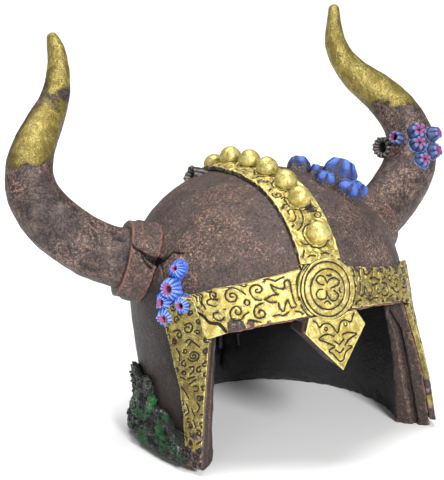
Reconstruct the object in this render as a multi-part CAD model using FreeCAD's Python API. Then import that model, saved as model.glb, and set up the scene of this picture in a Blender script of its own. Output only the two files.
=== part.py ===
"""Horned helmet aquarium ornament with an air line inside for bubbles.

Millimetres, +Z up, face opening towards -Y, resting on z = 0.
"""
import FreeCAD, Part
import math
import os
from FreeCAD import Vector as V

os.makedirs("parts", exist_ok=True)

# ---- driving dimensions ----
TOP_Z = 94.6
WALL = 8.0
CHEEK_THICKENING = 13.0
CHEEK_THICK_TOP = 47.0
FORM_SPAN = 50.0
SECTION_POINTS = 24
GOLD = 2.0
MEDALLION_GOLD = 3.0
MEDALLION_R = 11.0
CREST_LEFT = 9.2
CREST_RIGHT = 7.2
CREST_FRONT_Z = 72.3
CREST_REAR_Z = 58.0
STUD_R = 4.2
STUD_PIN_R = 1.3
STUD_PIN_DEPTH = 8.0
NASAL_NOTCH = 9.8
NASAL_SHOULDER = 12.6
NASAL_SHOULDER_Z = 49.5
NASAL_TIP_Z = 35.6
NASAL_TOP_Y = -50.0
NASAL_FOOT_Y = -58.0
COLLAR_R = 14.2
COLLAR_LIP_R = 14.9
AIR_LINE_R = 3.0
AIR_BORE_R = 2.0
INLET_R = 2.4
INLET_LENGTH = 8.0
INLET_Z = 12.0
WORN_Z = 7.0
WORN_SHIFT = 2.6
MOSS_DEPTH = 2.3
MOSS_FOOT_Z = 2.6

# height, centre y, half width, reach to the front, reach to the back
STATIONS = [
    (-12.0, -10.0, 54.4, 60.0, 60.0),
    (0.0, -10.0, 53.8, 57.0, 58.0),
    (24.0, -12.0, 52.6, 47.2, 50.5),
    (47.0, -8.0, 52.2, 41.2, 59.0),
    (62.0, -6.0, 50.6, 39.0, 57.0),
    (74.0, -3.0, 46.0, 37.5, 50.5),
    (83.0, 0.0, 38.0, 33.0, 40.5),
    (89.5, 2.0, 28.0, 25.5, 30.5),
    (93.3, 3.0, 16.0, 15.5, 18.0),
    (94.6, 4.0, 7.5, 7.5, 8.5),
]


def section(z, centre, half_width, front, back, grow):
    side = (FORM_SPAN + grow) / FORM_SPAN
    lift = (TOP_Z + grow) / TOP_Z
    square = 2.05 + 0.6 * min(1.0, max(0.0, 1.0 - z / 50.0))
    front = front * side
    if grow < 0:
        front -= CHEEK_THICKENING * max(0.0, 1.0 - z / CHEEK_THICK_TOP)
    points = []
    for i in range(SECTION_POINTS):
        turn = 2 * math.pi * i / SECTION_POINTS
        c, s = math.cos(turn), math.sin(turn)
        n = square if s < 0 else 2.0
        reach = front if s < 0 else back * side
        x = math.copysign(abs(c) ** (2 / n), c) * half_width * side
        y = math.copysign(abs(s) ** (2 / n), s) * reach + centre
        points.append(V(x, y, z * lift))
    curve = Part.BSplineCurve()
    curve.interpolate(points, PeriodicFlag=True)
    return Part.Wire(curve.toShape())


def form(grow=0.0):
    return Part.makeLoft([section(*s, grow) for s in STATIONS], True, False)


def prism_xz(points, y0, y1):
    wire = Part.makePolygon([V(x, y0, z) for x, z in points + points[:1]])
    return Part.Face(wire).extrude(V(0, y1 - y0, 0))


def prism_yz(points, x0, x1):
    wire = Part.makePolygon([V(x0, y, z) for y, z in points + points[:1]])
    return Part.Face(wire).extrude(V(x1 - x0, 0, 0))


def prism_xy(points, z0, z1):
    wire = Part.makePolygon([V(x, y, z0) for x, y in points + points[:1]])
    return Part.Face(wire).extrude(V(0, 0, z1 - z0))


def mirrored(shape):
    return shape.mirror(V(0, 0, 0), V(1, 0, 0))


def polyp(base, aim, r_foot, r_mouth, height, sink=3.0, crater=0.5):
    """A tapered cup standing on a surface, its foot sunk so a host can trim it."""
    aim = V(*aim).normalize()
    foot = V(*base) - aim * sink
    body = Part.makeCone(r_foot, r_mouth, height + sink, foot, aim)
    mouth = V(*base) + aim * (height * 0.55)
    hole = Part.makeCone(r_mouth * crater * 0.5, r_mouth * crater, height * 0.5, mouth, aim)
    return body.cut(hole)


def crystal(base, aim, r_foot, r_tip, height, sink=3.0):
    """A six-sided stub with a flat tip."""
    aim = V(*aim).normalize()
    side = aim.cross(V(0.3, 1, 0.2)).normalize()
    up = aim.cross(side)
    wires = []
    for r, h in ((r_foot, -sink), (r_foot, height * 0.6), (r_tip, height)):
        ring = []
        for i in range(6):
            a = math.pi / 3 * i
            ring.append(V(*base) + aim * h + (side * math.cos(a) + up * math.sin(a)) * r)
        wires.append(Part.makePolygon(ring + ring[:1]))
    return Part.makeLoft(wires, True, True)


def seat(shape, *hosts):
    """Trim a shape against what it stands on and keep its largest piece."""
    for host in hosts:
        shape = shape.cut(host)
    return max(shape.Solids, key=lambda s: s.Volume)


nodes = {}

# ---- helmet form ----
outer_full = form()
above = Part.makeBox(400, 400, 300, V(-200, -200, 0))
outer = outer_full.common(above)
inner = form(-WALL)
gilt = form(GOLD).common(above)

# ---- face opening: the front quarter below the brow, less the nose guard ----
sector = prism_xy([(0, 7), (-110, -103), (110, -103)], -5, 100)
lip = [(-60, 39), (-43.1, 46.4), (-37, 49.0), (-24, 51.8), (-10, 53.2)]
brow_line = lip + [(-x, z) for x, z in reversed(lip)]
arch = prism_xz([(-60, -6), (60, -6)] + list(reversed(brow_line)), -120, 10)
nasal_outline = [
    (-NASAL_NOTCH, 56),
    (-NASAL_NOTCH, 54.5),
    (-NASAL_SHOULDER, NASAL_SHOULDER_Z),
    (0, NASAL_TIP_Z),
    (NASAL_SHOULDER, NASAL_SHOULDER_Z),
    (NASAL_NOTCH, 54.5),
    (NASAL_NOTCH, 56),
]
nasal_block = prism_xz(nasal_outline, -120, 0)
opening = sector.common(arch).cut(nasal_block)
shell = outer.cut(inner).cut(opening)


def guard_slab(front, back):
    """The nose guard between two leaning planes, given as depths behind its face."""
    top, foot = NASAL_TOP_Y, NASAL_FOOT_Y
    corners = [(top + front, 54.5), (foot + front, 34.5), (foot + back, 34.5), (top + back, 54.5)]
    return prism_yz(corners, -20, 20)


nasal_form = prism_xz(nasal_outline[1:-1], -120, 0)
guard = nasal_form.common(guard_slab(GOLD, 9.0))
nasal_plate = nasal_form.common(guard_slab(0, GOLD))
shell = shell.fuse(guard).removeSplitter()
outer = outer.fuse(guard)

# ---- the foot of the rim is worn back on the left ----
worn_foot = section(-0.2, -10, 53.2, 62.0, 57.0, 0)
worn_top = section(WORN_Z, -10, 57.0, 64.0, 61.0, 0)
worn = Part.makeLoft([worn_foot, worn_top], True, True)
worn.translate(V(WORN_SHIFT, 0, 0))
rim_wear = Part.makeBox(400, 400, WORN_Z - 0.2, V(-200, -200, -0.2)).cut(worn)
outer = outer.cut(rim_wear)
shell = shell.cut(rim_wear)

# ---- horns, sunk in the shell wall, and their collars ----
HORN = [
    (45.6, 7.6, 65.4, 11.9),
    (57.0, 11.2, 68.7, 11.0),
    (69.0, 15.4, 75.2, 10.7),
    (78.7, 20.1, 84.4, 10.3),
    (82.5, 25.5, 93.9, 9.5),
    (80.2, 31.2, 103.4, 8.5),
    (74.7, 36.1, 110.7, 7.5),
    (67.5, 41.4, 117.8, 6.3),
    (62.5, 45.8, 125.1, 5.1),
    (60.5, 48.6, 134.5, 3.9),
    (61.5, 50.6, 143.7, 2.3),
]
centreline = Part.BSplineCurve()
centreline.interpolate([V(*h[:3]) for h in HORN])
rings = []
for x, y, z, r in HORN:
    p = V(x, y, z)
    along = centreline.tangent(centreline.parameter(p))[0]
    rings.append(Part.Wire(Part.makeCircle(r, p, along)))
horn = Part.makeLoft(rings, True, False)
horn = horn.fuse(Part.makeSphere(HORN[-1][3], V(*HORN[-1][:3]))).removeSplitter()
root = V(*HORN[0][:3])
root_aim = (V(*HORN[1][:3]) - root).normalize()
collar = Part.makeCylinder(COLLAR_R, 11.4, root - root_aim * 2, root_aim)
collar = collar.fuse(Part.makeCylinder(COLLAR_LIP_R, 4.5, root + root_aim * 1.5, root_aim))
collar = collar.fuse(Part.makeCone(COLLAR_LIP_R + 1.2, COLLAR_LIP_R, 3.5, root - root_aim * 2, root_aim))
collar = seat(collar.cut(horn), outer)
nodes["horn_right"] = horn
nodes["horn_left"] = mirrored(horn)
nodes["horn_collar_right"] = collar
nodes["horn_collar_left"] = mirrored(collar)
shell = shell.cut(horn).cut(mirrored(horn))

# ---- gilt bands, all conformal to the shell ----
lean = V(0, -0.94, 0.34).normalize()
medal_at = V(0, -46, 63)
medal_bar = Part.makeCylinder(MEDALLION_R, 40, medal_at - lean * 20, lean)
medallion = form(MEDALLION_GOLD).cut(outer_full).common(medal_bar)
nodes["brow_medallion"] = seat(medallion)

gilt_skin = gilt.cut(outer)
BAND_FOOT = [(0, 54.6), (NASAL_NOTCH, 54.6), (24, 53.4), (35, 51.2), (43.1, 47.6)]
BAND_HEAD_LEFT = [(45, 61.8), (38, 65.0), (24, 68.3), (CREST_LEFT, 70.8)]
BAND_HEAD_RIGHT = [(45, 59.8), (38, 62.6), (24, 66.0), (CREST_RIGHT, 69.6)]
band_blocks = []
for head in (BAND_HEAD_LEFT, BAND_HEAD_RIGHT):
    middle = [(head[-1][0], CREST_FRONT_Z), (0, CREST_FRONT_Z)]
    band_blocks.append(prism_xz(BAND_FOOT + head + middle, -120, -10))
nodes["brow_band_left"] = mirrored(seat(gilt_skin.common(band_blocks[0]), medal_bar, nasal_plate))
nodes["brow_band_right"] = seat(gilt_skin.common(band_blocks[1]), medal_bar, nasal_plate)

nodes["nasal_plate"] = seat(nasal_plate, medal_bar)

trim_outline = [
    (-24.2, 61.2),
    (-19.8, 56.0),
    (-19.6, 50.4),
    (-22.4, 44.8),
    (-26.4, 36.2),
    (-30.2, 28.8),
    (-33.2, 20.0),
    (-36.6, 2.5),
    (-62, 2.5),
    (-62, 61.2),
]
trim = gilt_skin.common(prism_yz(trim_outline, 20, 90)).cut(opening)
under_band = prism_xz([(0, 30), (43.1, 47.6), (43.1, 58), (0, 58)], -120, -10)
nodes["cheek_trim_left"] = mirrored(seat(trim, band_blocks[0], under_band))
nodes["cheek_trim_right"] = seat(trim, band_blocks[1], under_band)

crest_outline = [
    (-70, CREST_FRONT_Z),
    (-70, 120),
    (80, 120),
    (80, CREST_REAR_Z),
    (10, CREST_REAR_Z),
    (10, CREST_FRONT_Z),
]
crest = gilt_skin.common(prism_yz(crest_outline, -CREST_LEFT, CREST_RIGHT))
crest = seat(crest, medal_bar)

# ---- studs along the crest, each on a pin ----
STUD_FOCUS = V(0, 0, 50)
STUD_RISE = 1.5
STUD_TURNS = [-50.8, -31.8, -19.3, -3.2, 12.0, 28.4, 43.0, 56.6, 69.4]
for i, degrees in enumerate(STUD_TURNS):
    turn = math.radians(degrees)
    outward = V(0, math.sin(turn), math.cos(turn))
    inside = Part.makeLine(STUD_FOCUS, STUD_FOCUS + outward * 90).common(gilt)
    centre = STUD_FOCUS + outward * (inside.Length + STUD_RISE)
    pin = Part.makeCylinder(STUD_PIN_R, STUD_PIN_DEPTH, centre, outward * -1)
    dome = Part.makeSphere(STUD_R, centre).cut(gilt)
    nodes["crest_stud_%d" % (i + 1)] = dome.fuse(pin).removeSplitter()
    crest = crest.cut(pin)
    shell = shell.cut(pin)
nodes["crest_band"] = crest

# ---- air line: inlet at the nape, riser inside, nozzle under the barnacle ----
back_at_inlet = 43.4
inlet = Part.makeCylinder(INLET_R, back_at_inlet + 1.8 + INLET_LENGTH - 29.4, V(0, 29.4, INLET_Z), V(0, 1, 0))
inlet_tail = Part.makeCylinder(AIR_BORE_R, 6, V(0, 29.4, INLET_Z), V(0, 1, 0))
flange = Part.makeCylinder(5.5, 4.0, V(0, back_at_inlet - 2.2, INLET_Z), V(0, 1, 0)).cut(outer)
sleeve = Part.makeCylinder(INLET_R, 30, V(0, 33.0, INLET_Z), V(0, 1, 0))
inlet = inlet.common(sleeve).fuse(inlet_tail).fuse(flange)
inlet = inlet.cut(Part.makeCylinder(1.2, 40, V(0, 20, INLET_Z), V(0, 1, 0))).removeSplitter()
nodes["air_inlet"] = inlet
shell = shell.cut(Part.makeCylinder(INLET_R, 30, V(0, 30, INLET_Z), V(0, 1, 0)))

OUTLET = V(-12.4, 27.0, 0)
nozzle = Part.makeCylinder(AIR_BORE_R, 19.0, OUTLET + V(0, 0, 70.0), V(0, 0, 1))
shell = shell.cut(nozzle)
nodes["air_nozzle"] = nozzle.cut(Part.makeCylinder(1.2, 40, OUTLET + V(0, 0, 60), V(0, 0, 1)))

riser = Part.BSplineCurve()
riser.interpolate([
    V(0, 32.6, INLET_Z),
    V(0, 29.0, INLET_Z + 0.3),
    V(0, 25.6, 15.5),
    V(0, 25.6, 22.0),
    V(0, 31.0, 33.0),
    V(0, 35.6, 44.0),
    V(-4.0, 35.0, 55.0),
    V(-10.8, 28.8, 64.0),
    OUTLET + V(0, 0, 70.0),
    OUTLET + V(0, 0, 74.5),
])
path = Part.Wire(riser.toShape())


def hose(radius):
    ring = Part.Wire(Part.makeCircle(radius, riser.value(0), riser.tangent(0)[0]))
    return path.makePipeShell([ring], True, True)


line = hose(AIR_LINE_R)
nodes["air_tube"] = line.cut(hose(AIR_BORE_R)).cut(inlet).cut(nozzle)
for i, (z, y) in enumerate(((22.0, 26.0), (44.0, 35.6))):
    block = Part.makeBox(9, 16, 5, V(-4.5, y, z - 2.5))
    nodes["tube_clip_%d" % (i + 1)] = seat(block.common(inner), line)

# ---- barnacle over the outlet ----
SNOUT_AIM = V(-0.25, 0.08, 0.96).normalize()
crest_side = Part.makeBox(CREST_LEFT, 200, 80, V(-CREST_LEFT, -100, 50))
snout = Part.makeCone(4.4, 2.7, 8.0, OUTLET + V(1.0, 0, 86.4), SNOUT_AIM)
throat = Part.makeCylinder(AIR_BORE_R, 20, OUTLET + V(0, 0, 80), V(0, 0, 1))
nodes["crest_barnacle"] = seat(snout, outer, throat, crest_side)
shell = shell.cut(throat)

# ---- temple polyps, left side ----
trim_left = nodes["cheek_trim_left"]
band_left = nodes["brow_band_left"]
TEMPLE = [
    ((-44.9, -17.8, 69.0), (-0.75, -0.5, 0.45), 2.8, 2.0, 4.6),
    ((-47.4, -18.0, 62.6), (-0.85, -0.45, 0.2), 3.6, 3.2, 4.2),
    ((-49.2, -16.4, 57.6), (-0.92, -0.3, 0.1), 3.2, 2.7, 3.8),
    ((-46.0, -24.0, 58.2), (-0.8, -0.6, 0.12), 2.9, 2.2, 4.6),
    ((-49.2, -18.4, 52.6), (-0.88, -0.46, -0.05), 3.8, 2.8, 4.2),
]
for i, cup in enumerate(TEMPLE):
    body = polyp(*cup)
    for other in range(i):
        body = body.cut(nodes["temple_polyp_%d" % (other + 1)])
    nodes["temple_polyp_%d" % (i + 1)] = seat(body, outer, trim_left, band_left)

# ---- crown corals, beside the crest on the right ----
CROWN = [
    ((21.0, 9.6, 91.8), (0.25, 0.35, 0.9), 4.2, 2.4, 4.6),
    ((26.0, 4.2, 90.3), (0.35, 0.2, 0.9), 3.6, 2.4, 3.6),
    ((30.5, -1.2, 88.2), (0.45, 0.1, 0.85), 5.4, 3.0, 7.4),
    ((20.6, -9.6, 91.3), (0.25, -0.2, 0.95), 4.0, 2.6, 3.6),
    ((27.2, -14.4, 87.2), (0.45, -0.35, 0.85), 4.4, 2.6, 4.2),
    ((35.6, -7.8, 84.2), (0.6, -0.1, 0.8), 3.8, 2.2, 4.2),
]
for i, stub in enumerate(CROWN):
    body = crystal(*stub)
    for other in range(i):
        body = body.cut(nodes["crown_coral_%d" % (other + 1)])
    nodes["crown_coral_%d" % (i + 1)] = seat(body, outer)

# ---- growth on the right horn ----
HORN_CUPS = [
    ("horn_polyp_1", (80.1, 17.4, 98.2), (-0.1, -0.8, 0.6), 3.6, 3.1, 3.2),
    ("horn_polyp_2", (78.7, 14.5, 94.0), (-0.15, -0.8, 0.55), 3.2, 2.7, 3.0),
    ("horn_polyp_3", (85.2, 13.3, 90.8), (0.35, -0.88, 0.3), 3.2, 2.7, 3.0),
    ("horn_polyp_4", (78.6, 10.8, 88.4), (0.0, -0.88, 0.45), 3.4, 2.6, 2.6),
    ("horn_polyp_5", (87.2, 16.8, 96.6), (0.45, -0.8, 0.4), 3.2, 2.4, 3.2),
    ("horn_sponge", (74.0, 20.6, 95.6), (-0.8, -0.5, 0.35), 2.6, 2.3, 5.4),
    ("horn_barnacle", (73.4, 27.4, 90.8), (-0.9, -0.35, 0.2), 5.0, 2.6, 5.0),
]
placed = []
for name, *cup in HORN_CUPS:
    body = polyp(*cup)
    for other in placed:
        body = body.cut(other)
    nodes[name] = seat(body, horn)
    placed.append(nodes[name])

# ---- moss on the left rear wall ----
MOSS = [
    [(-50.0, 4.0, 19.5, 8.3), (-51.5, -7.0, 19.0, 8.2), (-51.5, 1.0, 15.5, 7.0)],
    [(-51.5, -1.0, 11.5, 9.6), (-47.5, 11.0, 8.6, 8.8), (-53.0, -11.5, 12.5, 7.8)],
    [(-53.0, -19.5, 9.5, 8.8), (-52.0, -29.0, 6.0, 7.6), (-53.2, -10.5, 4.6, 6.6)],
]
moss_foot = Part.makeBox(400, 400, 300, V(-200, -200, MOSS_FOOT_Z))
moss_skin = form(MOSS_DEPTH).common(moss_foot).cut(outer)
moss_placed = []
for i, lumps in enumerate(MOSS):
    balls = [Part.makeSphere(r, V(x, y, z)) for x, y, z, r in lumps]
    body = balls[0].multiFuse(balls[1:]).common(moss_skin)
    for other in moss_placed:
        body = body.cut(other)
    body = seat(body, trim_left)
    nodes["moss_clump_%d" % (i + 1)] = body
    moss_placed.append(body)

nodes["helmet_shell"] = seat(shell)

for name, shape in nodes.items():
    shape.exportStep("parts/" + name + ".step")
    print(name, shape.isValid(), len(shape.Solids), round(shape.Volume), len(shape.Faces))
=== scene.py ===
"""Finish of a horned helmet aquarium ornament, dressed over its CAD frame.

Every piece is carved from the frame's own node or built beside it, in metres.
"""
import bmesh
import bpy
import math
import random
from bpy.props import FloatProperty, FloatVectorProperty, PointerProperty
from mathutils import Matrix, Vector, noise
from mathutils.bvhtree import BVHTree
from mathutils.kdtree import KDTree


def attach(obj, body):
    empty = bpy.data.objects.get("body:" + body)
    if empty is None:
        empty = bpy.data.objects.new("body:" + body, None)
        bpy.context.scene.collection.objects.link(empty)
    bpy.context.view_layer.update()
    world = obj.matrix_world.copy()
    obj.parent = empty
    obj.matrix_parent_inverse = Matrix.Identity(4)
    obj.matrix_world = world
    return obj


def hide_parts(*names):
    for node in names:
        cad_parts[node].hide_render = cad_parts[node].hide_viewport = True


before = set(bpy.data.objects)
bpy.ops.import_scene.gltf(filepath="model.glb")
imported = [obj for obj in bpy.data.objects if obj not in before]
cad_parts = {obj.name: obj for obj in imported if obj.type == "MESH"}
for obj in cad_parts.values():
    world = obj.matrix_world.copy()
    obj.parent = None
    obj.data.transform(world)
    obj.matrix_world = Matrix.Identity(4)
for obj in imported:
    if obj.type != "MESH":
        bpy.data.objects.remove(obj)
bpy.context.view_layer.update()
MM = 0.001

bl_info = {
    "name": "Horned helmet ornament",
    "version": (1, 0, 0),
    "blender": (4, 5, 0),
    "location": "View3D > Sidebar > Ornament",
    "description": "Builds the weathered finish of a horned helmet aquarium ornament",
    "category": "Object",
}


def colour(name, text, value):
    return FloatVectorProperty(
        name=name, description=text, default=value, size=3, min=0.0, max=1.0, subtype="COLOR"
    )


def length(name, text, value):
    return FloatProperty(name=name, description=text, default=value, min=0.0, unit="LENGTH", precision=5)


class HelmetPaint(bpy.types.PropertyGroup):
    """Paint colours of the ornament."""

    iron_dark: colour("Iron shadow", "Darkest brown of the painted iron", (0.016, 0.012, 0.012))
    iron: colour("Iron", "Middle brown of the painted iron", (0.078, 0.054, 0.048))
    copper: colour("Copper", "Dry-brushed copper highlights", (0.560, 0.330, 0.235))
    soot: colour("Soot", "Black of the helmet's hollow", (0.016, 0.016, 0.018))
    gold: colour("Gold", "Gilt of the bands", (0.370, 0.278, 0.060))
    gold_light: colour("Light gold", "Raised and rubbed gilt", (0.610, 0.532, 0.196))
    wash: colour("Wash", "Dark wash in the engraving", (0.020, 0.015, 0.009))
    coral: colour("Coral", "Blue of the polyps", (0.050, 0.135, 0.580))
    coral_light: colour("Light coral", "Rubbed rims of the polyps", (0.190, 0.320, 0.860))
    bloom: colour("Bloom", "Pink in the mouths of the polyps", (0.340, 0.085, 0.240))
    shade: colour("Growth shadow", "Dark feet and gaps of the growths", (0.020, 0.017, 0.022))
    moss: colour("Moss", "Green of the moss", (0.012, 0.085, 0.022))
    moss_dark: colour("Moss shadow", "Black of the moss", (0.012, 0.013, 0.012))
    moss_pale: colour("Moss crumbs", "Pale crumbs on the moss", (0.430, 0.440, 0.390))


class HelmetCarving(bpy.types.PropertyGroup):
    """Sizes of the carved detail."""

    line: length("Line width", "Width of an engraved line", 0.00066)
    depth: length("Line depth", "Depth of an engraved line", 0.00045)
    crack: length("Crack depth", "Depth of the cracks", 0.0014)
    shell_grain: length("Shell grain", "Grain of the helmet's mesh", 0.00088)
    gilt_grain: length("Gilt grain", "Grain of the bands' meshes", 0.00027)
    horn_grain: length("Horn grain", "Grain of the horns' meshes", 0.0006)


# ---- materials ----
class Field:
    """A number that varies over a surface; sums on it add Math nodes to its tree."""

    def __init__(self, tree, socket):
        self.tree = tree
        self.socket = socket

    def sum(self, operation, *values, clamp=False):
        node = self.tree.nodes.new("ShaderNodeMath")
        node.operation = operation
        node.use_clamp = clamp
        for slot, value in zip(node.inputs, values):
            if isinstance(value, Field):
                self.tree.links.new(value.socket, slot)
            else:
                slot.default_value = value
        return Field(self.tree, node.outputs[0])

    def __add__(self, other):
        return self.sum("ADD", self, other)

    def __radd__(self, other):
        return self.sum("ADD", other, self)

    def __sub__(self, other):
        return self.sum("SUBTRACT", self, other)

    def __rsub__(self, other):
        return self.sum("SUBTRACT", other, self)

    def __mul__(self, other):
        return self.sum("MULTIPLY", self, other)

    def __rmul__(self, other):
        return self.sum("MULTIPLY", other, self)

    def __truediv__(self, other):
        return self.sum("DIVIDE", self, other)

    def __abs__(self):
        return self.sum("ABSOLUTE", self)

    def clamped(self):
        return self.sum("ADD", self, 0.0, clamp=True)

    def above(self, other):
        return self.sum("MAXIMUM", self, other)


def paint(rgb):
    return (rgb[0], rgb[1], rgb[2], 1.0)


class Finish:
    """A material of this ornament and the nodes that paint it."""

    def __init__(self, name):
        self.material = bpy.data.materials.new(name)
        self.material.use_nodes = True
        self.tree = self.material.node_tree
        self.tree.nodes.clear()
        self.place = self.node("ShaderNodeTexCoord", output="Object")

    def node(self, kind, settings=None, sockets=None, output=0):
        """Adds a node, sets it, then fills or links its sockets."""
        node = self.tree.nodes.new(kind)
        for name, value in (settings or {}).items():
            setattr(node, name, value)
        for name, value in (sockets or {}).items():
            if isinstance(value, Field):
                self.tree.links.new(value.socket, node.inputs[name])
            else:
                node.inputs[name].default_value = value
        return Field(self.tree, node.outputs[output]) if node.outputs else None

    def grain(self, size, detail=3.0, rough=0.55, swirl=0.0, where=None):
        """Noise whose lumps are about size millimetres across."""
        sockets = {
            "Vector": where or self.place,
            "Scale": 1000.0 / size,
            "Detail": detail,
            "Roughness": rough,
            "Distortion": swirl,
        }
        return self.node("ShaderNodeTexNoise", {}, sockets, "Fac")

    def cells(self, size):
        """Distance to the nearest of scattered points about size millimetres apart."""
        sockets = {"Vector": self.place, "Scale": 1000.0 / size}
        return self.node("ShaderNodeTexVoronoi", {"feature": "F1"}, sockets, "Distance")

    def stretched(self, turn, scale):
        """Object coordinates turned and scaled, for brushed streaks."""
        sockets = {"Vector": self.place, "Rotation": turn, "Scale": scale}
        return self.node("ShaderNodeMapping", {}, sockets)

    def carved(self, name):
        """A value stored on the piece's own points."""
        return self.node("ShaderNodeAttribute", {"attribute_name": name}, {}, "Fac")

    def ramp(self, value, low, high):
        """0 below low, 1 above high and smooth between them."""
        sockets = {"Value": value, "From Min": low, "From Max": high}
        return self.node("ShaderNodeMapRange", {"interpolation_type": "SMOOTHSTEP"}, sockets)

    def mix(self, under, over, amount):
        """One colour over another by amount."""
        under = under if isinstance(under, Field) else paint(under)
        over = over if isinstance(over, Field) else paint(over)
        return self.node("ShaderNodeMix", {"data_type": "RGBA"}, {0: amount, 6: under, 7: over}, 2)

    def dress(self, base, rough, metal, height, relief, **constants):
        """The painted surface, its height in units of relief metres."""
        bump = self.node("ShaderNodeBump", {}, {"Height": height, "Distance": relief, "Strength": 1.0})
        sockets = {"Base Color": base, "Roughness": rough, "Metallic": metal, "Normal": bump}
        sockets["Specular IOR Level"] = 0.32
        sockets.update(constants)
        surface = self.node("ShaderNodeBsdfPrincipled", {}, sockets)
        self.node("ShaderNodeOutputMaterial", {}, {"Surface": surface})
        return self.material


def iron_finish(look):
    """Brown painted iron, dry-brushed with copper, black in the hollow, and darkened nearly to black where
    painted shade is marked.
    """
    f = Finish("painted_iron")
    broad = f.grain(30, 2)
    mottle = f.grain(7, 5, 0.65)
    grit = f.grain(0.9, 3, 0.7)
    swirl = f.grain(2.0, 2.5, 0.6, 1.2)
    broken = f.grain(1.1, 2, 0.6)
    inside = f.carved("inside")
    edge = f.carved("edge")
    carve = f.carved("carve")
    body = f.mix(look.iron_dark, look.iron, f.ramp(mottle * 0.35 + grit * 0.65, 0.36, 0.60))
    body = f.mix(body, (0.125, 0.110, 0.095), f.ramp(broad * 0.5 + mottle * 0.5, 0.56, 0.70) * 0.45)
    ridge = f.ramp(1.0 - abs(swirl - 0.5) * 9.0, 0.35, 0.95)
    brushed = f.ramp(broad * 0.7 + mottle * 0.3, 0.44, 0.62)
    copper = (ridge * f.ramp(broken, 0.42, 0.56) * (brushed * 0.85 + 0.15)).clamped()
    dust = f.ramp(f.grain(0.7, 2, 0.6), 0.55, 0.68) * (brushed * 0.7 + 0.15)
    copper = copper.above(dust * 0.7)
    body = f.mix(body, look.copper, copper * 0.75)
    body = f.mix(body, (0.270, 0.110, 0.080), f.ramp(edge + (grit - 0.5) * 0.6, 0.16, 0.50) * 0.75)
    speck = f.ramp(0.20 - f.cells(2.3), 0.0, 0.06) * f.ramp(mottle, 0.5, 0.6)
    body = f.mix(body, (0.420, 0.370, 0.330), speck * 0.5)
    body = f.mix(body, look.iron_dark, f.ramp(grit, 0.62, 0.72) * 0.6)
    # painted shade: points marked painted_shade turn nearly black, mottled
    side_shade = (f.carved("painted_shade") * (0.74 + f.ramp(mottle, 0.4, 0.6) * 0.2)).clamped()
    body = f.mix(body, (0.016, 0.012, 0.012), side_shade)
    sooty = f.mix(look.soot, (0.050, 0.048, 0.048), f.ramp(grit * 0.5 + mottle * 0.5, 0.55, 0.75) * 0.5)
    body = f.mix(body, sooty, f.ramp(inside, 0.55, 0.75))
    blue = f.mix(look.coral, look.coral_light, f.ramp(grit, 0.45, 0.6))
    body = f.mix(body, blue, f.ramp(f.carved("stain") + (mottle - 0.5) * 1.2, 0.55, 0.72) * 0.8)
    body = f.mix(body, (0.006, 0.004, 0.004), carve)
    rough = (0.50 + (grit - 0.5) * 0.4 - copper * 0.12).clamped()
    height = grit * 0.8 + swirl * 0.35 + copper * 0.5 + mottle * 0.8
    return f.dress(body, rough, copper * 0.25, height, 0.0007)


def horn_finish(look):
    """Brown horn, its upper part gilt and rubbed through in patches, the gilt thinner and darker on the sides
    turned from the light as painted shade.
    """
    f = Finish("painted_horn")
    broad = f.grain(22, 2)
    mottle = f.grain(5, 5, 0.65)
    grit = f.grain(0.9, 3, 0.7)
    swirl = f.grain(2.2, 2.5, 0.6, 1.8)
    broken = f.grain(1.4, 2, 0.6)
    gild_and_shade = f.carved("gild_and_shade")
    carve = f.carved("carve")
    body = f.mix(look.iron_dark, look.iron, f.ramp(mottle * 0.4 + grit * 0.6, 0.42, 0.58))
    ridge = f.ramp(1.0 - abs(swirl - 0.5) * 9.0, 0.35, 0.95)
    brushed = f.ramp(broad * 0.6 + mottle * 0.4, 0.44, 0.60)
    copper = ridge * f.ramp(broken, 0.44, 0.58) * brushed
    copper = copper.above(f.ramp(f.grain(0.7, 2, 0.6), 0.55, 0.68) * (brushed * 0.6 + 0.1))
    body = f.mix(body, look.copper, copper.clamped() * 0.52)
    body = f.mix(body, (0.160, 0.140, 0.120), f.ramp(mottle, 0.58, 0.70) * 0.35)
    streak = f.grain(2.4, 3, 0.6, 0.6, f.stretched((0, 0.35, 0), (1.0, 1.0, 0.35)))
    # low gild_and_shade lets brown show through: at the gilt's edge, and as painted shade on sides turned
    # from the light
    ragged = gild_and_shade + (mottle - 0.5) * 0.9 + (streak - 0.5) * 0.9 + (grit - 0.5) * 0.5
    gold_at = f.ramp(ragged, 0.46, 0.55)
    sheen = f.ramp(mottle * 0.4 + streak * 0.6, 0.44, 0.62)
    gold = f.mix((0.205, 0.156, 0.038), (0.440, 0.362, 0.108), sheen)
    gold = f.mix(gold, (0.110, 0.078, 0.026), f.ramp(grit * 0.45 + streak * 0.55, 0.53, 0.62) * 0.85)
    gold = f.mix(gold, (0.060, 0.044, 0.018), f.ramp(f.grain(0.6, 2, 0.6), 0.60, 0.68) * 0.8)
    # darker gold where gild_and_shade is low: at the gilt's edge, and as painted shade on sides turned from
    # the light
    gold = f.mix(gold, (0.075, 0.058, 0.024), (1.0 - f.ramp(gild_and_shade, 0.55, 0.95)) * 0.75)
    body = f.mix(body, gold, gold_at)
    blue = f.mix((0.070, 0.110, 0.290), (0.180, 0.300, 0.560), f.ramp(grit, 0.45, 0.6))
    body = f.mix(body, blue, f.ramp(f.carved("stain") + (mottle - 0.5) * 0.9, 0.45, 0.70) * 0.85)
    body = f.mix(body, (0.006, 0.004, 0.004), carve)
    rough = (0.54 + (grit - 0.5) * 0.35 - gold_at * 0.14).clamped()
    height = grit * 0.6 + swirl * 0.3 + mottle * 0.5 + gold_at * 0.35
    return f.dress(body, rough, gold_at * 0.6, height, 0.0007)


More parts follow.
